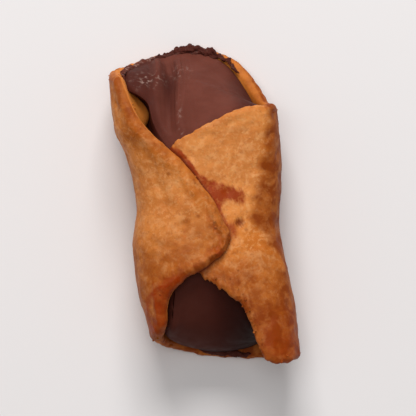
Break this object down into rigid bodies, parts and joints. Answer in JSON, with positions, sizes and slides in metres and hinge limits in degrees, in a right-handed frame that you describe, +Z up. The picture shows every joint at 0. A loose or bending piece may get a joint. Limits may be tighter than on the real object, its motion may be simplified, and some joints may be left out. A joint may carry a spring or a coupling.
{
  "type": "filled cannolo pastry",
  "caption": "Small cannolo lying on its back: a rolled sheet of fried dough, one flap lapped over the other, filled through with cocoa cream that shows at both ends.",
  "frame": {"origin": "centre of the bounding box's bottom, on the surface that the cannolo lies on", "axes": "+Y along the roll, towards the end where the flaps part in a V; +Z up, out of the side with the seam; +X towards the flap that lies underneath"},
  "size_m": [0.0368, 0.0728, 0.0285],
  "materials": {
    "fried_dough": "matte fried crust",
    "cocoa_cream": "set cream with a soft sheen"
  },
  "bodies": {
    "root": {"pastry_shell": "fried_dough", "cocoa_cream": "cocoa_cream"}
  },
  "joints": []
}
